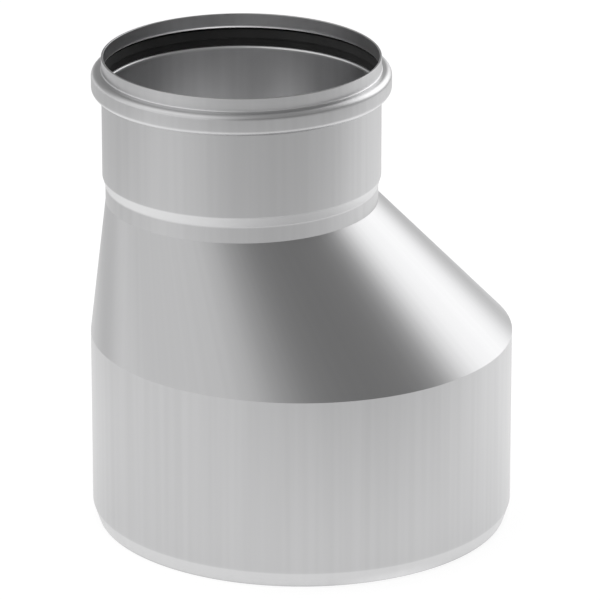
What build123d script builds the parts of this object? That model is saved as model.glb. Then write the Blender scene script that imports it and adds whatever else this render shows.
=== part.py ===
from build123d import *
import os

# Eccentric sheet-metal reducer for round flue pipe, in millimetres.
# It stands on its wide spigot end, with the origin at the centre of that end.
# +Z runs up to the socket, and the socket's axis is set over towards -X,
# so that one side of the reducer is straight from end to end.

# Driving dimensions
wide_pipe_diameter = 200.0  # outside of the spigot, which slides into the wide pipe's socket
small_pipe_diameter = 130.0  # outside of the pipe that the small socket takes
sheet = 1.0  # thickness of the sheet in all three metal sections
spigot_length = 92.3
lead_in_height = 7.5  # the spigot's end is rolled inwards to guide it home
lead_in_depth = 2.5
cone_length = 57.7
neck_length = 8.0
neck_reduction = 0.25  # the neck's outside is this much inside the small pipe's outside
step_height = 4.8  # slope between neck and socket, where the small pipe comes to rest
socket_clearance = 0.15  # between the small pipe and the socket's wall, all round
socket_depth = 41.0  # from the step's top to the bead's underside
bead_height = 10.7
bead_depth = 4.85  # how far the bead stands out of the socket's wall
collar_height = 6.5  # from the bead's top to the mouth
crease_bend = 0.6  # outside radius of the small bends at the step
bead_outer_bend = 2.9  # outside radius where the bead turns to its crown
bead_root_bend = 0.6  # outside radius where the bead leaves the wall
rim_rounding = 0.2
seal_clearance = 0.1  # between the seal and the bead that holds it
lip_touch = 0.05  # the lip stands this far outside the small pipe, as when pressed back
lip_nose_height = 3.1  # from the seal's bottom to the lip's nose
lip_nose_radius = 0.5
lip_root_rise = 0.9  # the lip's underside climbs this far from its nose to the heel
lip_lead_in = 1.25  # how far the lip leans in from the seal's mouth to its nose
heel_thickness = 2.9  # of the seal's ring inside the bead

# A bend takes up no more than this share of the flat beside it
crown_share_of_depth = 0.6
crown_share_of_height = 0.4
root_share_of_depth = 0.35
root_share_of_collar = 0.4

# Radii, all to the outside of the sheet
spigot_radius = wide_pipe_diameter / 2
pipe_radius = small_pipe_diameter / 2
neck_radius = pipe_radius - neck_reduction
socket_radius = pipe_radius + socket_clearance + sheet
bead_radius = socket_radius + bead_depth
axis_offset = spigot_radius - neck_radius  # makes the reducer's -X side straight

# Heights of the section ends and the bends
cone_bottom = spigot_length
cone_top = cone_bottom + cone_length
step_bottom = cone_top + neck_length
step_top = step_bottom + step_height
bead_bottom = step_top + socket_depth
bead_top = bead_bottom + bead_height
mouth = bead_top + collar_height

# Section planes: u runs outwards from an axis and v runs up it
spigot_section = Plane.XZ
socket_section = Plane.XZ.shift_origin((-axis_offset, 0, 0))
spigot_axis = Axis.Z
socket_axis = Axis((-axis_offset, 0, 0), (0, 0, 1))

# Bends of the bead, held to their shares of the flats
crown_limit = min(crown_share_of_depth * bead_depth, crown_share_of_height * bead_height)
crown_bend = min(bead_outer_bend, crown_limit)
root_limit = min(root_share_of_depth * bead_depth, root_share_of_collar * collar_height)
root_bend = min(bead_root_bend, root_limit)


# The spigot: a straight tube whose lower end is rolled inwards and trimmed square
lead_in_slope = lead_in_depth / lead_in_height

with BuildPart() as spigot_tube:
    with BuildSketch(spigot_section):
        with BuildLine():
            Polyline(
                (spigot_radius - lead_in_depth - sheet * lead_in_slope, -sheet),
                (spigot_radius, lead_in_height),
                (spigot_radius, cone_bottom),
            )
            offset(amount=sheet, side=Side.LEFT, kind=Kind.INTERSECTION)
        make_face()
    revolve(axis=spigot_axis)
    split(bisect_by=Plane.XY, keep=Keep.TOP)

spigot_tube.part.label = "spigot_tube"


# The cone: sheet rolled round two circles that share their straight side
with BuildPart() as eccentric_cone:
    with BuildSketch(Plane.XY.offset(cone_bottom)):
        Circle(spigot_radius)
    with BuildSketch(Plane.XY.offset(cone_top)):
        with Locations((-axis_offset, 0)):
            Circle(neck_radius)
    loft(ruled=True)
    open_ends = eccentric_cone.faces().filter_by(Axis.Z)
    offset(amount=-sheet, openings=open_ends, kind=Kind.INTERSECTION)

eccentric_cone.part.label = "eccentric_cone"


# The socket: one tube formed with a neck, a step, a bead for the seal and a mouth
with BuildPart() as socket_collar:
    with BuildSketch(socket_section):
        with BuildLine():
            FilletPolyline(
                (neck_radius, cone_top),
                (neck_radius, step_bottom),
                (socket_radius, step_top),
                (socket_radius, bead_bottom),
                (bead_radius, bead_bottom),
                (bead_radius, bead_top),
                (socket_radius, bead_top),
                (socket_radius, mouth),
                radius=[crease_bend, crease_bend, root_bend, crown_bend, crown_bend, root_bend],
            )
            offset(amount=sheet, side=Side.LEFT)
        make_face()
    revolve(axis=socket_axis)
    rim = socket_collar.faces().sort_by(Axis.Z)[-1]
    fillet(rim.edges(), rim_rounding)

socket_collar.part.label = "socket_collar"


# The seal: a rubber ring whose heel fills the bead and whose lip leans in towards the pipe
seal_bottom = bead_bottom + sheet + seal_clearance
seal_top = bead_top - sheet - seal_clearance
heel_outside = bead_radius - sheet - seal_clearance
heel_inside = heel_outside - heel_thickness
heel_rounding = crown_bend - sheet - seal_clearance  # follows the inside of the bead's crown
nose_reach = pipe_radius + lip_touch
nose_level = seal_bottom + lip_nose_height

with BuildPart() as lip_seal:
    with BuildSketch(socket_section) as seal_section:
        with BuildLine():
            Polyline(
                (heel_outside, seal_bottom),
                (heel_outside, seal_top),
                (nose_reach + lip_lead_in, seal_top),
                (nose_reach, nose_level),
                (heel_inside, nose_level + lip_root_rise),
                (heel_inside, seal_bottom),
                close=True,
            )
        make_face()
        fillet(seal_section.vertices().group_by(Axis.X)[-1], heel_rounding)
        fillet(seal_section.vertices().group_by(Axis.X)[0], lip_nose_radius)
    revolve(axis=socket_axis)

lip_seal.part.label = "lip_seal"


os.makedirs("parts", exist_ok=True)
for piece in (spigot_tube, eccentric_cone, socket_collar, lip_seal):
    export_step(piece.part, f"parts/{piece.part.label}.step")
    box = piece.part.bounding_box()
    print(piece.part.label, round(piece.part.volume), box.min, box.max)
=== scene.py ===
import math

import bmesh
import bpy
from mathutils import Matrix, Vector


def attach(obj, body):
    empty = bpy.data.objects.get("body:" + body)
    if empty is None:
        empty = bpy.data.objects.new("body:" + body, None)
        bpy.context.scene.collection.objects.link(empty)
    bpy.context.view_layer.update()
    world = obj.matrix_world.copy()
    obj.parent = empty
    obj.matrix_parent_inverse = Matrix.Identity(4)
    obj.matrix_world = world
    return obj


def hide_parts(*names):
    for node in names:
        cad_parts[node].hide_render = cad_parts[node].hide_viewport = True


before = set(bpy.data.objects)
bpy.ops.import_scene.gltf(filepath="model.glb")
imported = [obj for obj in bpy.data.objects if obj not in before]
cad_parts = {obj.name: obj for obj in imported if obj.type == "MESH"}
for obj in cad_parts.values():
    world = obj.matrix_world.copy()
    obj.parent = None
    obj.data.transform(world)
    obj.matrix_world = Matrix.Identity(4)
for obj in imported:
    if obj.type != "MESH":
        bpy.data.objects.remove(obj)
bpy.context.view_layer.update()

# Sizes of the reducer, in millimetres, as in the part. Radii are to the outside of the sheet.
MM = 0.001
SHEET = 1.0
SPIGOT_RADIUS = 100.0
SPIGOT_LENGTH = 92.3
LEAD_IN_HEIGHT = 7.5
LEAD_IN_DEPTH = 2.5
CONE_TOP = 150.0
CONE_LENGTH = CONE_TOP - SPIGOT_LENGTH
NECK_RADIUS = 64.75
SET_OVER = SPIGOT_RADIUS - NECK_RADIUS
STEP_BOTTOM = 158.0
STEP_TOP = 162.8
SOCKET_RADIUS = 66.15
BEAD_BOTTOM = 203.8
BEAD_TOP = 214.5
BEAD_RADIUS = 71.0
MOUTH = 221.0
STEP_BEND = 0.6
CROWN_BEND = 2.9
ROOT_BEND = 0.6
ROOT_INSIDE_HIGH = 1.6  # rounding of the two edges where the bead opens inside
ROOT_INSIDE_LOW = 1.2
RIM_ROUNDING = 0.2
SEAL_BOTTOM = 204.9
SEAL_TOP = 213.4
SEAL_OUTSIDE = 69.9
SEAL_INSIDE = 66.3
SEAL_ROUNDING = 1.8
NOSE_RADIUS = 65.05
NOSE_LEVEL = 208.0
NOSE_ROUNDING = 0.5
LIP_MOUTH_RADIUS = 66.3
LIP_MOUTH_LEVEL = 212.7  # leaves a dark gap under the collar
LIP_MOUTH_ROUNDING = 0.2
LIP_ROOT_LEVEL = 208.9

# Fineness of the meshes
ROUND_STEPS = 256
BEND_STEPS = 6
MERGE_DISTANCE = 1e-6  # in metres
CRISP_FROM = 30.0  # degrees between two faces from which their edge stays crisp
FLAT_WALL_WEIGHT = 100  # the flats keep their shading, and the bends take up the turn

# Steel, where a range is the lowest and highest value that the pattern gives
STREAKS_PER_METRE = 250.0
GRAIN_PER_METRE = 1500.0
STREAK_DRAW = 60.0  # the streaks are this many times as long as they are wide
NOISE_ROUGHNESS = 0.6
NOISE_RANGE = (0.32, 0.68)  # nearly all values of a noise lie in it
WHOLE_RANGE = (0.0, 1.0)
CONE_STREAK_RANGE = (0.25, 0.75)  # the cone's streaks are half as strong
STEEL_DARK = (0.518, 0.518, 0.523, 1.0)
STEEL_LIGHT = (0.542, 0.542, 0.547, 1.0)
# Painted highlight: the lighter steel colour that the bands at the bends are painted with
STEEL_PAINTED_HIGHLIGHT = (0.76, 0.76, 0.765, 1.0)
# Painted light: a lighter copy of the steel colour for the socket's inner face
STEEL_DARK_PAINTED_LIGHTER_INSIDE = (0.575, 0.575, 0.58, 1.0)
STEEL_LIGHT_PAINTED_LIGHTER_INSIDE = (0.6, 0.6, 0.605, 1.0)
ROLLED_ROUGHNESS = (0.285, 0.315)
FORMED_ROUGHNESS = (0.38, 0.44)
STEEL_GRAIN_DEPTH = 0.00002
STEEL_GRAIN_BUMP = 0.05

# Bands at the bends, where rollers formed the sheet, which is more matt there and is painted
# lighter as a painted highlight: lowest and highest height, and how far its finish changed
MATT_AND_HIGHLIGHT_FADE = 0.3
BAND_ON_WALL = 0.6
BAND_ON_BEAD = 1.6
BAND_ON_COLLAR = 0.8 * ROOT_INSIDE_HIGH
LEAD_IN_BAND = ((0.0, LEAD_IN_HEIGHT, 0.5),)
SOCKET_BANDS = (
    (STEP_BOTTOM, STEP_TOP, 0.85),
    (BEAD_BOTTOM - BAND_ON_WALL, BEAD_BOTTOM + BAND_ON_BEAD, 1.0),
    (BEAD_TOP - BAND_ON_BEAD, BEAD_TOP + BAND_ON_WALL, 0.8),
)
SOCKET_BANDS_INSIDE = (
    (BEAD_BOTTOM + SHEET - ROOT_INSIDE_LOW, BEAD_BOTTOM + SHEET, 1.0),
    (BEAD_TOP - SHEET, BEAD_TOP - SHEET + BAND_ON_COLLAR, 0.8),
)

# Rubber
RUBBER_DARK = (0.016, 0.016, 0.016, 1.0)
RUBBER_LIGHT = (0.022, 0.022, 0.022, 1.0)
RUBBER_ROUGHNESS = (0.6, 0.7)
RUBBER_SPECULAR = 0.3
TOOTH_PER_METRE = 1800.0
TOOTH_DEPTH = 0.00005
TOOTH_BUMP = 0.4
BLOOM_PER_METRE = 70.0

# Camera
LENS_LENGTH = 337.1
SENSOR_WIDTH = 36.0
CAMERA_REACH = 20.0
CAMERA_PLACE = (1.48873, -2.00713, 1.02984)
CAMERA_AIM = (-0.5590, 0.7532, -0.3468)

# Lamps: name, bearing and height angle in degrees, reach, width and height in metres, and
# brightness, where 1 is white
LAMP_AIM = (0.0, 0.0, 0.1)
LAMPS = (
    ("right_soft_box", 82.0, 26.0, 1.5, 1.5, 1.0, 1.5),
    ("left_soft_box", -125.0, 22.0, 1.5, 2.4, 1.4, 1.0),
    ("top_light", 0.0, 90.0, 1.5, 1.2, 1.2, 2.4),
)
WORLD_LIGHT = 0.3

# The tent: a dome of lit cloth that only the reducer's steel mirrors
WHITE = (1.0, 1.0, 1.0, 1.0)
TENT = 3.0
TENT_GAP = 0.01  # above the floor
TENT_FADE = 0.36  # height, as a share of the dome's radius, over which the cloth darkens
TENT_CLOTH = (0.73, 0.26)  # brightness at the floor, and from the fade upwards
# Bearing, height angle and tilt in degrees, half width, half height, softness of the edge,
# brightness
TENT_WINDOWS = (
    (81.4, 28.2, 6.0, 0.46, 0.35, 0.45, 1.64),
    (-115.9, 27.0, 10.0, 0.67, 0.72, 0.35, 0.69),
    (184.0, 3.0, 0.0, 0.53, 0.2, 0.5, 0.34),
)

# The floor, and the pools of light and shade that the steel mirrors in it
FLOOR_HALF_WIDTH = 4.0
FLOOR_SHADE = 0.25
FLOOR_WHITE = 0.84  # makes the floor white, together with the lamps
# Middle in metres, turn in degrees, half width, half length, share that is full, brightness
# outside and inside
FLOOR_POOLS = (
    (0.02, 0.2, 68.0, 0.68, 1.87, 0.18, 0.45, 0.865),
    (0.17, 0.25, 60.0, 0.35, 0.35, 0.0, 0.0, 0.14),
    (-1.6, 0.3, 170.0, 1.0, 1.4, 0.0, 0.0, 0.32),
    # Under the reducer, for its inner walls
    (-0.04, 0.01, 0.0, 0.065, 0.065, 0.3, 0.0, 1.0),
    (0.049, -0.025, 0.0, 0.052, 0.052, 0.3, 0.0, 1.4),
    (0.0, -0.06, 0.0, 0.04, 0.037, 0.3, 0.0, -0.8),
)


# Modelling


def rounded_section(bm, corners):
    """Draws a closed section in metres from (radius, height, rounding) corners in millimetres."""
    points = [Vector((u * MM, 0.0, v * MM)) for u, v, _ in corners]
    verts = [bm.verts.new(point) for point in points]
    for here, following in zip(verts, verts[1:] + verts[:1]):
        bm.edges.new((here, following))
    count = len(corners)
    for index, (_, _, rounding) in enumerate(corners):
        if not rounding:
            continue
        before = points[index] - points[index - 1]
        after = points[(index + 1) % count] - points[index]
        cut_back = rounding * MM * math.tan(before.angle(after) / 2)
        bmesh.ops.bevel(bm, geom=[verts[index]], affect="VERTICES", offset=cut_back,
                        segments=BEND_STEPS, profile=0.5, material=-1)


def finished_piece(name, bm, node):
    """Turns a bmesh into a piece that stands for a node of the part."""
    bmesh.ops.remove_doubles(bm, verts=bm.verts, dist=MERGE_DISTANCE)
    bmesh.ops.recalc_face_normals(bm, faces=bm.faces)
    mesh = bpy.data.meshes.new(name)
    bm.to_mesh(mesh)
    bm.free()
    mesh.shade_smooth()
    mesh.set_sharp_from_angle(angle=math.radians(CRISP_FROM))
    piece = bpy.data.objects.new(name, mesh)
    bpy.context.scene.collection.objects.link(piece)
    weighted = piece.modifiers.new("even_walls", "WEIGHTED_NORMAL")
    weighted.mode = "FACE_AREA"
    weighted.weight = FLAT_WALL_WEIGHT
    weighted.keep_sharp = True
    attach(piece, "root")
    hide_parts(node)
    return piece


def spun_piece(name, corners, centre, node):
    """Spins a section about the upright axis at X = centre."""
    bm = bmesh.new()
    rounded_section(bm, corners)
    bmesh.ops.translate(bm, verts=bm.verts, vec=(centre * MM, 0.0, 0.0))
    bmesh.ops.spin(bm, geom=bm.verts[:] + bm.edges[:], cent=(centre * MM, 0.0, 0.0),
                   axis=(0.0, 0.0, 1.0), angle=2 * math.pi, steps=ROUND_STEPS, use_merge=True)
    return finished_piece(name, bm, node)


def hoop(bm, radius, centre, height):
    """A ring of edges at one height."""
    ring = bmesh.ops.create_circle(bm, segments=ROUND_STEPS, radius=radius * MM)["verts"]
    bmesh.ops.translate(bm, verts=ring, vec=(centre * MM, 0.0, height * MM))
    return [edge for edge in bm.edges if edge.verts[0] in ring and edge.verts[1] in ring]


def rolled_cone():
    """The set-over cone: four hoops, bridged into an outside, an inside and two sheet edges."""
    slope = 2 * SET_OVER / CONE_LENGTH
    wall_across = SHEET * math.hypot(1.0, slope)
    trim = (wall_across + SHEET) / 2
    lean = (wall_across - SHEET) / 2
    bm = bmesh.new()
    outside_low = hoop(bm, SPIGOT_RADIUS, 0.0, SPIGOT_LENGTH)
    outside_high = hoop(bm, NECK_RADIUS, -SET_OVER, CONE_TOP)
    inside_high = hoop(bm, NECK_RADIUS - trim, -SET_OVER - lean, CONE_TOP)
    inside_low = hoop(bm, SPIGOT_RADIUS - trim, -lean, SPIGOT_LENGTH)
    hoops = [outside_low, outside_high, inside_high, inside_low]
    for one, other in zip(hoops, hoops[1:] + hoops[:1]):
        bmesh.ops.bridge_loops(bm, edges=one + other)
    return finished_piece("cone_sheet", bm, "eccentric_cone")


def spigot():
    """The wide tube, with its lower edge rolled inwards as a lead-in."""
    slope = LEAD_IN_DEPTH / LEAD_IN_HEIGHT
    across = SHEET * math.hypot(1.0, slope)
    inner_knee = LEAD_IN_HEIGHT + SHEET * math.tan(math.atan(slope) / 2)
    return spun_piece("spigot_sheet", [
        (SPIGOT_RADIUS - LEAD_IN_DEPTH, 0.0, 0.0),
        (SPIGOT_RADIUS, LEAD_IN_HEIGHT, 0.0),
        (SPIGOT_RADIUS, SPIGOT_LENGTH, 0.0),
        (SPIGOT_RADIUS - SHEET, SPIGOT_LENGTH, 0.0),
        (SPIGOT_RADIUS - SHEET, inner_knee, 0.0),
        (SPIGOT_RADIUS - LEAD_IN_DEPTH - across, 0.0, 0.0),
    ], 0.0, "spigot_tube")


def socket():
    """The small tube, with its neck, step, bead and mouth, up its outside and down its inside."""
    step_slope = (SOCKET_RADIUS - NECK_RADIUS) / (STEP_TOP - STEP_BOTTOM)
    step_turn = math.tan(math.atan(step_slope) / 2)
    return spun_piece("socket_sheet", [
        (NECK_RADIUS, CONE_TOP, 0.0),
        (NECK_RADIUS, STEP_BOTTOM, STEP_BEND),
        (SOCKET_RADIUS, STEP_TOP, STEP_BEND),
        (SOCKET_RADIUS, BEAD_BOTTOM, ROOT_BEND),
        (BEAD_RADIUS, BEAD_BOTTOM, CROWN_BEND),
        (BEAD_RADIUS, BEAD_TOP, CROWN_BEND),
        (SOCKET_RADIUS, BEAD_TOP, ROOT_BEND),
        (SOCKET_RADIUS, MOUTH, RIM_ROUNDING),
        (SOCKET_RADIUS - SHEET, MOUTH, RIM_ROUNDING),
        (SOCKET_RADIUS - SHEET, BEAD_TOP - SHEET, ROOT_INSIDE_HIGH),
        (BEAD_RADIUS - SHEET, BEAD_TOP - SHEET, CROWN_BEND - SHEET),
        (BEAD_RADIUS - SHEET, BEAD_BOTTOM + SHEET, CROWN_BEND - SHEET),
        (SOCKET_RADIUS - SHEET, BEAD_BOTTOM + SHEET, ROOT_INSIDE_LOW),
        (SOCKET_RADIUS - SHEET, STEP_TOP + SHEET * step_turn, 0.0),
        (NECK_RADIUS - SHEET, STEP_BOTTOM + SHEET * step_turn, STEP_BEND + SHEET),
        (NECK_RADIUS - SHEET, CONE_TOP, 0.0),
    ], -SET_OVER, "socket_collar")


def seal():
    """The rubber ring, with its heel in the bead and its lip leaning in towards the pipe."""
    return spun_piece("seal_ring", [
        (SEAL_OUTSIDE, SEAL_BOTTOM, SEAL_ROUNDING),
        (SEAL_OUTSIDE, SEAL_TOP, SEAL_ROUNDING),
        (LIP_MOUTH_RADIUS, LIP_MOUTH_LEVEL, LIP_MOUTH_ROUNDING),
        (NOSE_RADIUS, NOSE_LEVEL, NOSE_ROUNDING),
        (SEAL_INSIDE, LIP_ROOT_LEVEL, 0.0),
        (SEAL_INSIDE, SEAL_BOTTOM, 0.0),
    ], -SET_OVER, "lip_seal")


# Patterns


def bare_material(name):
    material = bpy.data.materials.new(name)
    material.use_nodes = True
    nodes = material.node_tree.nodes
    return material, nodes, material.node_tree.links, nodes["Principled BSDF"]


def on_piece(nodes):
    """The piece's own coordinates, which are the frame's, in metres."""
    return nodes.new("ShaderNodeTexCoord").outputs["Object"]


def fed(links, entry, value):
    """Gives a node's entry a fixed value, or links another node's result to it."""
    if isinstance(value, bpy.types.NodeSocket):
        links.new(value, entry)
    else:
        entry.default_value = value


def worked_out(nodes, links, operation, *values):
    """The result of one sum on fixed values and other nodes' results."""
    worked = nodes.new("ShaderNodeMath")
    worked.operation = operation
    for entry, value in zip(worked.inputs, values):
        fed(links, entry, value)
    return worked.outputs[0]


def summed(nodes, links, values):
    total = values[0]
    for value in values[1:]:
        total = worked_out(nodes, links, "ADD", total, value)
    return total


def split_off(nodes, links, place, axis):
    """One of a place's three coordinates."""
    parts = nodes.new("ShaderNodeSeparateXYZ")
    links.new(place, parts.inputs[0])
    return parts.outputs[axis]


def length_of(nodes, links, vector):
    length = nodes.new("ShaderNodeVectorMath")
    length.operation = "LENGTH"
    links.new(vector, length.inputs[0])
    return length.outputs["Value"]


def spread(nodes, links, value, to, source=NOISE_RANGE, curve="LINEAR"):
    """Maps a value from one range to another and holds it at the ends."""
    mapped = nodes.new("ShaderNodeMapRange")
    mapped.interpolation_type = curve
    mapped.inputs["From Min"].default_value, mapped.inputs["From Max"].default_value = source
    mapped.inputs["To Min"].default_value, mapped.inputs["To Max"].default_value = to
    links.new(value, mapped.inputs["Value"])
    return mapped.outputs["Result"]


def tinted(nodes, links, amount, one, other):
    """A colour between two others."""
    mix = nodes.new("ShaderNodeMix")
    mix.data_type = "RGBA"
    links.new(amount, mix.inputs[0])
    fed(links, mix.inputs[6], one)
    fed(links, mix.inputs[7], other)
    return mix.outputs[2]


def blended(nodes, links, amount, one, other):
    """A value between two others."""
    mix = nodes.new("ShaderNodeMix")
    mix.data_type = "FLOAT"
    links.new(amount, mix.inputs[0])
    fed(links, mix.inputs[2], one)
    fed(links, mix.inputs[3], other)
    return mix.outputs[0]


def along_tube(nodes, links, axis_at):
    """Coordinates that hardly change up an upright tube, so that a pattern runs along it."""
    drawn_out = nodes.new("ShaderNodeMapping")
    drawn_out.vector_type = "TEXTURE"
    drawn_out.inputs["Location"].default_value = (axis_at * MM, 0.0, 0.0)
    drawn_out.inputs["Scale"].default_value = (1.0, 1.0, STREAK_DRAW)
    links.new(on_piece(nodes), drawn_out.inputs["Vector"])
    return drawn_out.outputs["Vector"]


def along_cone(nodes, links):
    """Coordinates that stay the same down each straight line of the cone, towards its apex."""
    taper = SPIGOT_RADIUS / (SPIGOT_RADIUS - NECK_RADIUS)
    whole_length = CONE_LENGTH * taper
    apex_height = SPIGOT_LENGTH + whole_length
    from_apex = nodes.new("ShaderNodeMapping")
    from_apex.inputs["Location"].default_value = (SET_OVER * taper * MM, 0.0, -apex_height * MM)
    links.new(on_piece(nodes), from_apex.inputs["Vector"])
    height = split_off(nodes, links, from_apex.outputs["Vector"], "Z")
    drop = worked_out(nodes, links, "DIVIDE", whole_length * MM, height)
    drawn_in = nodes.new("ShaderNodeVectorMath")
    drawn_in.operation = "SCALE"
    links.new(from_apex.outputs["Vector"], drawn_in.inputs[0])
    links.new(drop, drawn_in.inputs["Scale"])
    return drawn_in.outputs["Vector"]


def grain(nodes, links, along, per_metre, detail):
    noise = nodes.new("ShaderNodeTexNoise")
    noise.inputs["Scale"].default_value = per_metre
    noise.inputs["Detail"].default_value = detail
    noise.inputs["Roughness"].default_value = NOISE_ROUGHNESS
    links.new(along, noise.inputs["Vector"])
    return noise.outputs["Fac"]


def raised(nodes, links, pattern, depth, strength):
    bump = nodes.new("ShaderNodeBump")
    bump.inputs["Strength"].default_value = strength
    bump.inputs["Distance"].default_value = depth
    links.new(pattern, bump.inputs["Height"])
    return bump.outputs["Normal"]


def matt_and_painted_highlight_bands(nodes, links, bands):
    """A band's strength at the heights where the sheet was formed, which are more matt and are
    painted lighter as a painted highlight, and 0 elsewhere.
    """
    height = split_off(nodes, links, on_piece(nodes), "Z")
    ramp = nodes.new("ShaderNodeValToRGB")
    links.new(spread(nodes, links, height, WHOLE_RANGE, (0.0, MOUTH * MM)), ramp.inputs["Fac"])
    stops = []
    for low, high, strength in bands:
        stops += [(low - MATT_AND_HIGHLIGHT_FADE, 0.0), (low, strength), (high, strength),
                  (high + MATT_AND_HIGHLIGHT_FADE, 0.0)]
    elements = ramp.color_ramp.elements
    elements.remove(elements[1])
    elements[0].position = 0.0
    elements[0].color = (0.0, 0.0, 0.0, 1.0)
    for height, strength in stops:
        stop = elements.new(max(height, 0.0) / MOUTH)
        stop.color = (strength, strength, strength, 1.0)
    return ramp.outputs["Color"]


def inside_of_socket(nodes, links):
    """1 on the inner face of the socket's wall and 0 elsewhere."""
    place = on_piece(nodes)
    from_axis = nodes.new("ShaderNodeVectorMath")
    from_axis.operation = "MULTIPLY_ADD"
    from_axis.inputs[1].default_value = (1.0, 1.0, 0.0)
    from_axis.inputs[2].default_value = (SET_OVER * MM, 0.0, 0.0)
    links.new(place, from_axis.inputs[0])
    radius = length_of(nodes, links, from_axis.outputs["Vector"])
    height = split_off(nodes, links, place, "Z")
    mid_sheet = (SOCKET_RADIUS - SHEET / 2) * MM
    over_step = (STEP_TOP + 2 * SHEET) * MM
    within = worked_out(nodes, links, "LESS_THAN", radius, mid_sheet)
    above = worked_out(nodes, links, "GREATER_THAN", height, over_step)
    return worked_out(nodes, links, "MULTIPLY", within, above)


# Finishes


def satin_steel(name, along_what, streak_range, matt_and_highlight_bands=(), matt_and_highlight_bands_inside=()):
    """Rolled stainless sheet: faint streaks and a fine grain along the rolling direction.

    Where rollers formed a bend, at the heights in the given bands, the sheet is more matt, and it
    is painted lighter there as a painted highlight.
    With bands for the inside, the inner face has bends and bands of its own, and its steel is
    painted a little lighter, as painted light."""
    material, nodes, links, shader = bare_material(name)
    along = along_what(nodes, links)
    streaks = grain(nodes, links, along, STREAKS_PER_METRE, 1.0)
    fine = grain(nodes, links, along, GRAIN_PER_METRE, 2.0)
    streaked = spread(nodes, links, streaks, streak_range)
    colour = tinted(nodes, links, streaked, STEEL_DARK, STEEL_LIGHT)
    roughness = spread(nodes, links, fine, ROLLED_ROUGHNESS)
    if matt_and_highlight_bands:
        # The bands at the bends: a more matt finish, and a painted highlight in a lighter colour
        worked = matt_and_painted_highlight_bands(nodes, links, matt_and_highlight_bands)
        if matt_and_highlight_bands_inside:
            within = inside_of_socket(nodes, links)
            matt_and_highlight_inside = matt_and_painted_highlight_bands(nodes, links, matt_and_highlight_bands_inside)
            # Painted light: the inner face takes a lighter copy of the steel colour
            colour_painted_lighter_inside = tinted(nodes, links, streaked, STEEL_DARK_PAINTED_LIGHTER_INSIDE, STEEL_LIGHT_PAINTED_LIGHTER_INSIDE)
            worked = blended(nodes, links, within, worked, matt_and_highlight_inside)
            colour = tinted(nodes, links, within, colour, colour_painted_lighter_inside)
        roughness_formed = spread(nodes, links, fine, FORMED_ROUGHNESS)
        # Painted highlight: the bands take the lighter steel colour
        colour = tinted(nodes, links, worked, colour, STEEL_PAINTED_HIGHLIGHT)
        roughness = blended(nodes, links, worked, roughness, roughness_formed)
    shader.inputs["Metallic"].default_value = 1.0
    links.new(colour, shader.inputs["Base Color"])
    links.new(roughness, shader.inputs["Roughness"])
    links.new(raised(nodes, links, fine, STEEL_GRAIN_DEPTH, STEEL_GRAIN_BUMP),
              shader.inputs["Normal"])
    return material


def black_rubber():
    """Moulded rubber: matt black with the fine tooth of the mould."""
    material, nodes, links, shader = bare_material("black_rubber")
    place = on_piece(nodes)
    tooth = grain(nodes, links, place, TOOTH_PER_METRE, 3.0)
    bloom = spread(nodes, links, grain(nodes, links, place, BLOOM_PER_METRE, 2.0), WHOLE_RANGE)
    links.new(tinted(nodes, links, bloom, RUBBER_DARK, RUBBER_LIGHT), shader.inputs["Base Color"])
    links.new(spread(nodes, links, tooth, RUBBER_ROUGHNESS), shader.inputs["Roughness"])
    links.new(raised(nodes, links, tooth, TOOTH_DEPTH, TOOTH_BUMP), shader.inputs["Normal"])
    shader.inputs["Specular IOR Level"].default_value = RUBBER_SPECULAR
    return material


def along_spigot(nodes, links):
    return along_tube(nodes, links, 0.0)


def along_socket(nodes, links):
    return along_tube(nodes, links, -SET_OVER)


# The reducer

spigot_sheet = spigot()
cone_sheet = rolled_cone()
socket_sheet = socket()
seal_ring = seal()

spigot_sheet.data.materials.append(
    satin_steel("steel_of_spigot", along_spigot, WHOLE_RANGE, LEAD_IN_BAND))
cone_sheet.data.materials.append(
    satin_steel("steel_of_cone", along_cone, CONE_STREAK_RANGE))
socket_sheet.data.materials.append(
    satin_steel("steel_of_socket", along_socket, WHOLE_RANGE, SOCKET_BANDS, SOCKET_BANDS_INSIDE))
seal_ring.data.materials.append(black_rubber())


# The studio


def soft_box(name, bearing, height_angle, reach, width, height, brightness):
    """The light of a soft box that is turned towards the reducer. The tent shows its face."""
    light = bpy.data.lights.new(name, "AREA")
    light.shape = "RECTANGLE"
    light.size = width
    light.size_y = height
    light.energy = brightness * math.pi * width * height
    lamp = bpy.data.objects.new(name, light)
    scene.collection.objects.link(lamp)
    bearing, height_angle = math.radians(bearing), math.radians(height_angle)
    level = math.cos(height_angle)
    away = Vector((level * math.cos(bearing), level * math.sin(bearing), math.sin(height_angle)))
    lamp.location = Vector(LAMP_AIM) + away * reach
    lamp.rotation_mode = "QUATERNION"
    lamp.rotation_quaternion = (-away).to_track_quat("-Z", "Y")
    lamp.visible_camera = False
    lamp.visible_glossy = False


def ray_kinds(nodes, links):
    """1 for a ray from the camera, and 1 for a ray that a piece mirrors or lets through."""
    path = nodes.new("ShaderNodeLightPath").outputs
    mirrored = worked_out(nodes, links, "MAXIMUM", path["Is Glossy Ray"],
                          path["Is Transmission Ray"])
    return path["Is Camera Ray"], mirrored


def staged(name, bm, material):
    """A piece of the studio, which is not part of the reducer."""
    mesh = bpy.data.meshes.new(name)
    bm.to_mesh(mesh)
    bm.free()
    mesh.materials.append(material)
    obj = bpy.data.objects.new(name, mesh)
    scene.collection.objects.link(obj)
    return obj


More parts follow.
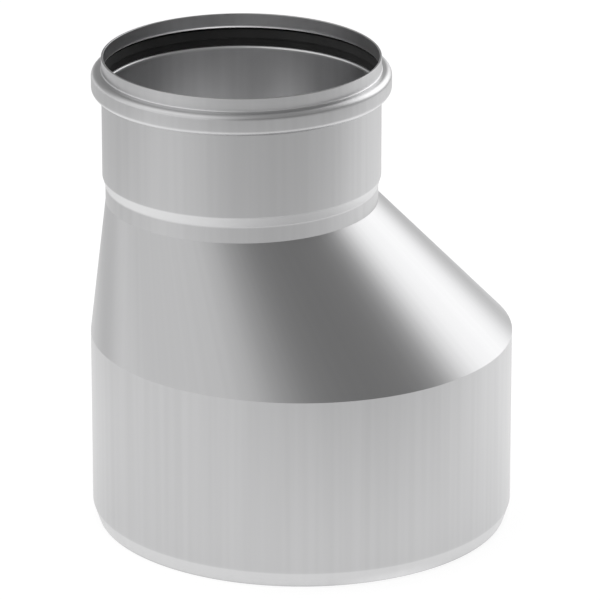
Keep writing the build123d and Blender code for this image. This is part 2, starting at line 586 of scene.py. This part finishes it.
def oval(nodes, links, place, laid_at, turn, size, fade, brightness):
    """An oval across the local X axis, and the coordinates in it.

    The brightness goes from its first value to its second as the distance from the middle, in
    half widths, goes through the range in fade."""
    laid = nodes.new("ShaderNodeMapping")
    laid.vector_type = "TEXTURE"
    laid.inputs["Location"].default_value = laid_at
    laid.inputs["Rotation"].default_value = turn
    laid.inputs["Scale"].default_value = size
    links.new(place, laid.inputs["Vector"])
    flat = nodes.new("ShaderNodeVectorMath")
    flat.operation = "MULTIPLY"
    flat.inputs[1].default_value = (0.0, 1.0, 1.0)
    links.new(laid.outputs["Vector"], flat.inputs[0])
    reach = length_of(nodes, links, flat.outputs["Vector"])
    lit = spread(nodes, links, reach, brightness, fade, "SMOOTHSTEP")
    return laid.outputs["Vector"], lit


def window(nodes, links, place, bearing, height_angle, tilt, half_width, half_height, softness,
           brightness):
    """The lit face of a soft box behind the tent's cloth."""
    turn = (math.radians(tilt), -math.radians(height_angle), math.radians(bearing))
    size = (TENT, TENT * half_width, TENT * half_height)
    fade = (1.0 + softness, 1.0 - softness)
    laid, lit = oval(nodes, links, place, (0.0, 0.0, 0.0), turn, size, fade, (0.0, brightness))
    ahead = worked_out(nodes, links, "GREATER_THAN", split_off(nodes, links, laid, "X"), 0.0)
    return worked_out(nodes, links, "MULTIPLY", ahead, lit)


def floor_pool(nodes, links, place, across, along, turn, half_width, half_length, full, outside,
               inside):
    """A pool of light or shade that lies on the floor."""
    turned = (0.0, math.radians(90.0), math.radians(turn))
    size = (1.0, half_width, half_length)
    _, lit = oval(nodes, links, place, (across, along, 0.0), turned, size, (1.0, full),
                  (outside, inside))
    return lit


scene = bpy.context.scene
scene.view_settings.view_transform = "Standard"

lens = bpy.data.cameras.new("camera")
lens.lens = LENS_LENGTH
lens.sensor_width = SENSOR_WIDTH
lens.clip_end = CAMERA_REACH
camera = bpy.data.objects.new("camera", lens)
scene.collection.objects.link(camera)
camera.location = CAMERA_PLACE
camera.rotation_mode = "QUATERNION"
camera.rotation_quaternion = Vector(CAMERA_AIM).to_track_quat("-Z", "Y")
scene.camera = camera

for lamp_values in LAMPS:
    soft_box(*lamp_values)

world = bpy.data.worlds.new("studio")
scene.world = world
world.use_nodes = True
w_nodes, w_links = world.node_tree.nodes, world.node_tree.links
w_seen, w_mirrored = ray_kinds(w_nodes, w_links)
w_shown = worked_out(w_nodes, w_links, "MAXIMUM", w_seen, w_mirrored)
w_strength = spread(w_nodes, w_links, w_shown, (WORLD_LIGHT, 1.0), WHOLE_RANGE)
w_links.new(w_strength, w_nodes["Background"].inputs["Strength"])
w_nodes["Background"].inputs["Color"].default_value = WHITE

floor_material, f_nodes, f_links, f_shader = bare_material("white_floor")
f_shader.inputs["Base Color"].default_value = (FLOOR_SHADE, FLOOR_SHADE, FLOOR_SHADE, 1.0)
f_shader.inputs["Roughness"].default_value = 1.0
f_shader.inputs["Specular IOR Level"].default_value = 0.0
f_shader.inputs["Emission Color"].default_value = WHITE
f_place = on_piece(f_nodes)
pools = [floor_pool(f_nodes, f_links, f_place, *values) for values in FLOOR_POOLS]
f_seen, f_mirrored = ray_kinds(f_nodes, f_links)
f_pools = worked_out(f_nodes, f_links, "MULTIPLY", f_mirrored, summed(f_nodes, f_links, pools))
f_glow = worked_out(f_nodes, f_links, "MULTIPLY_ADD", f_seen, FLOOR_WHITE, f_pools)
f_links.new(f_glow, f_shader.inputs["Emission Strength"])
bm = bmesh.new()
bmesh.ops.create_grid(bm, x_segments=1, y_segments=1, size=FLOOR_HALF_WIDTH)
staged("floor", bm, floor_material)

tent_material, t_nodes, t_links, t_shader = bare_material("tent_cloth")
t_shader.inputs["Base Color"].default_value = (0.0, 0.0, 0.0, 1.0)
t_shader.inputs["Specular IOR Level"].default_value = 0.0
t_shader.inputs["Emission Color"].default_value = WHITE
t_place = on_piece(t_nodes)
t_cloth = spread(t_nodes, t_links, split_off(t_nodes, t_links, t_place, "Z"), TENT_CLOTH,
                 (0.0, TENT_FADE * TENT), "SMOOTHSTEP")
windows = [window(t_nodes, t_links, t_place, *values) for values in TENT_WINDOWS]
t_links.new(summed(t_nodes, t_links, [t_cloth, *windows]), t_shader.inputs["Emission Strength"])
bm = bmesh.new()
bmesh.ops.create_uvsphere(bm, u_segments=96, v_segments=48, radius=TENT)
bmesh.ops.bisect_plane(bm, geom=bm.verts[:] + bm.edges[:] + bm.faces[:],
                       plane_co=(0.0, 0.0, TENT_GAP), plane_no=(0.0, 0.0, -1.0), clear_outer=True)
tent = staged("tent", bm, tent_material)
tent.visible_camera = False
tent.visible_diffuse = False
tent.visible_transmission = False
tent.visible_shadow = False
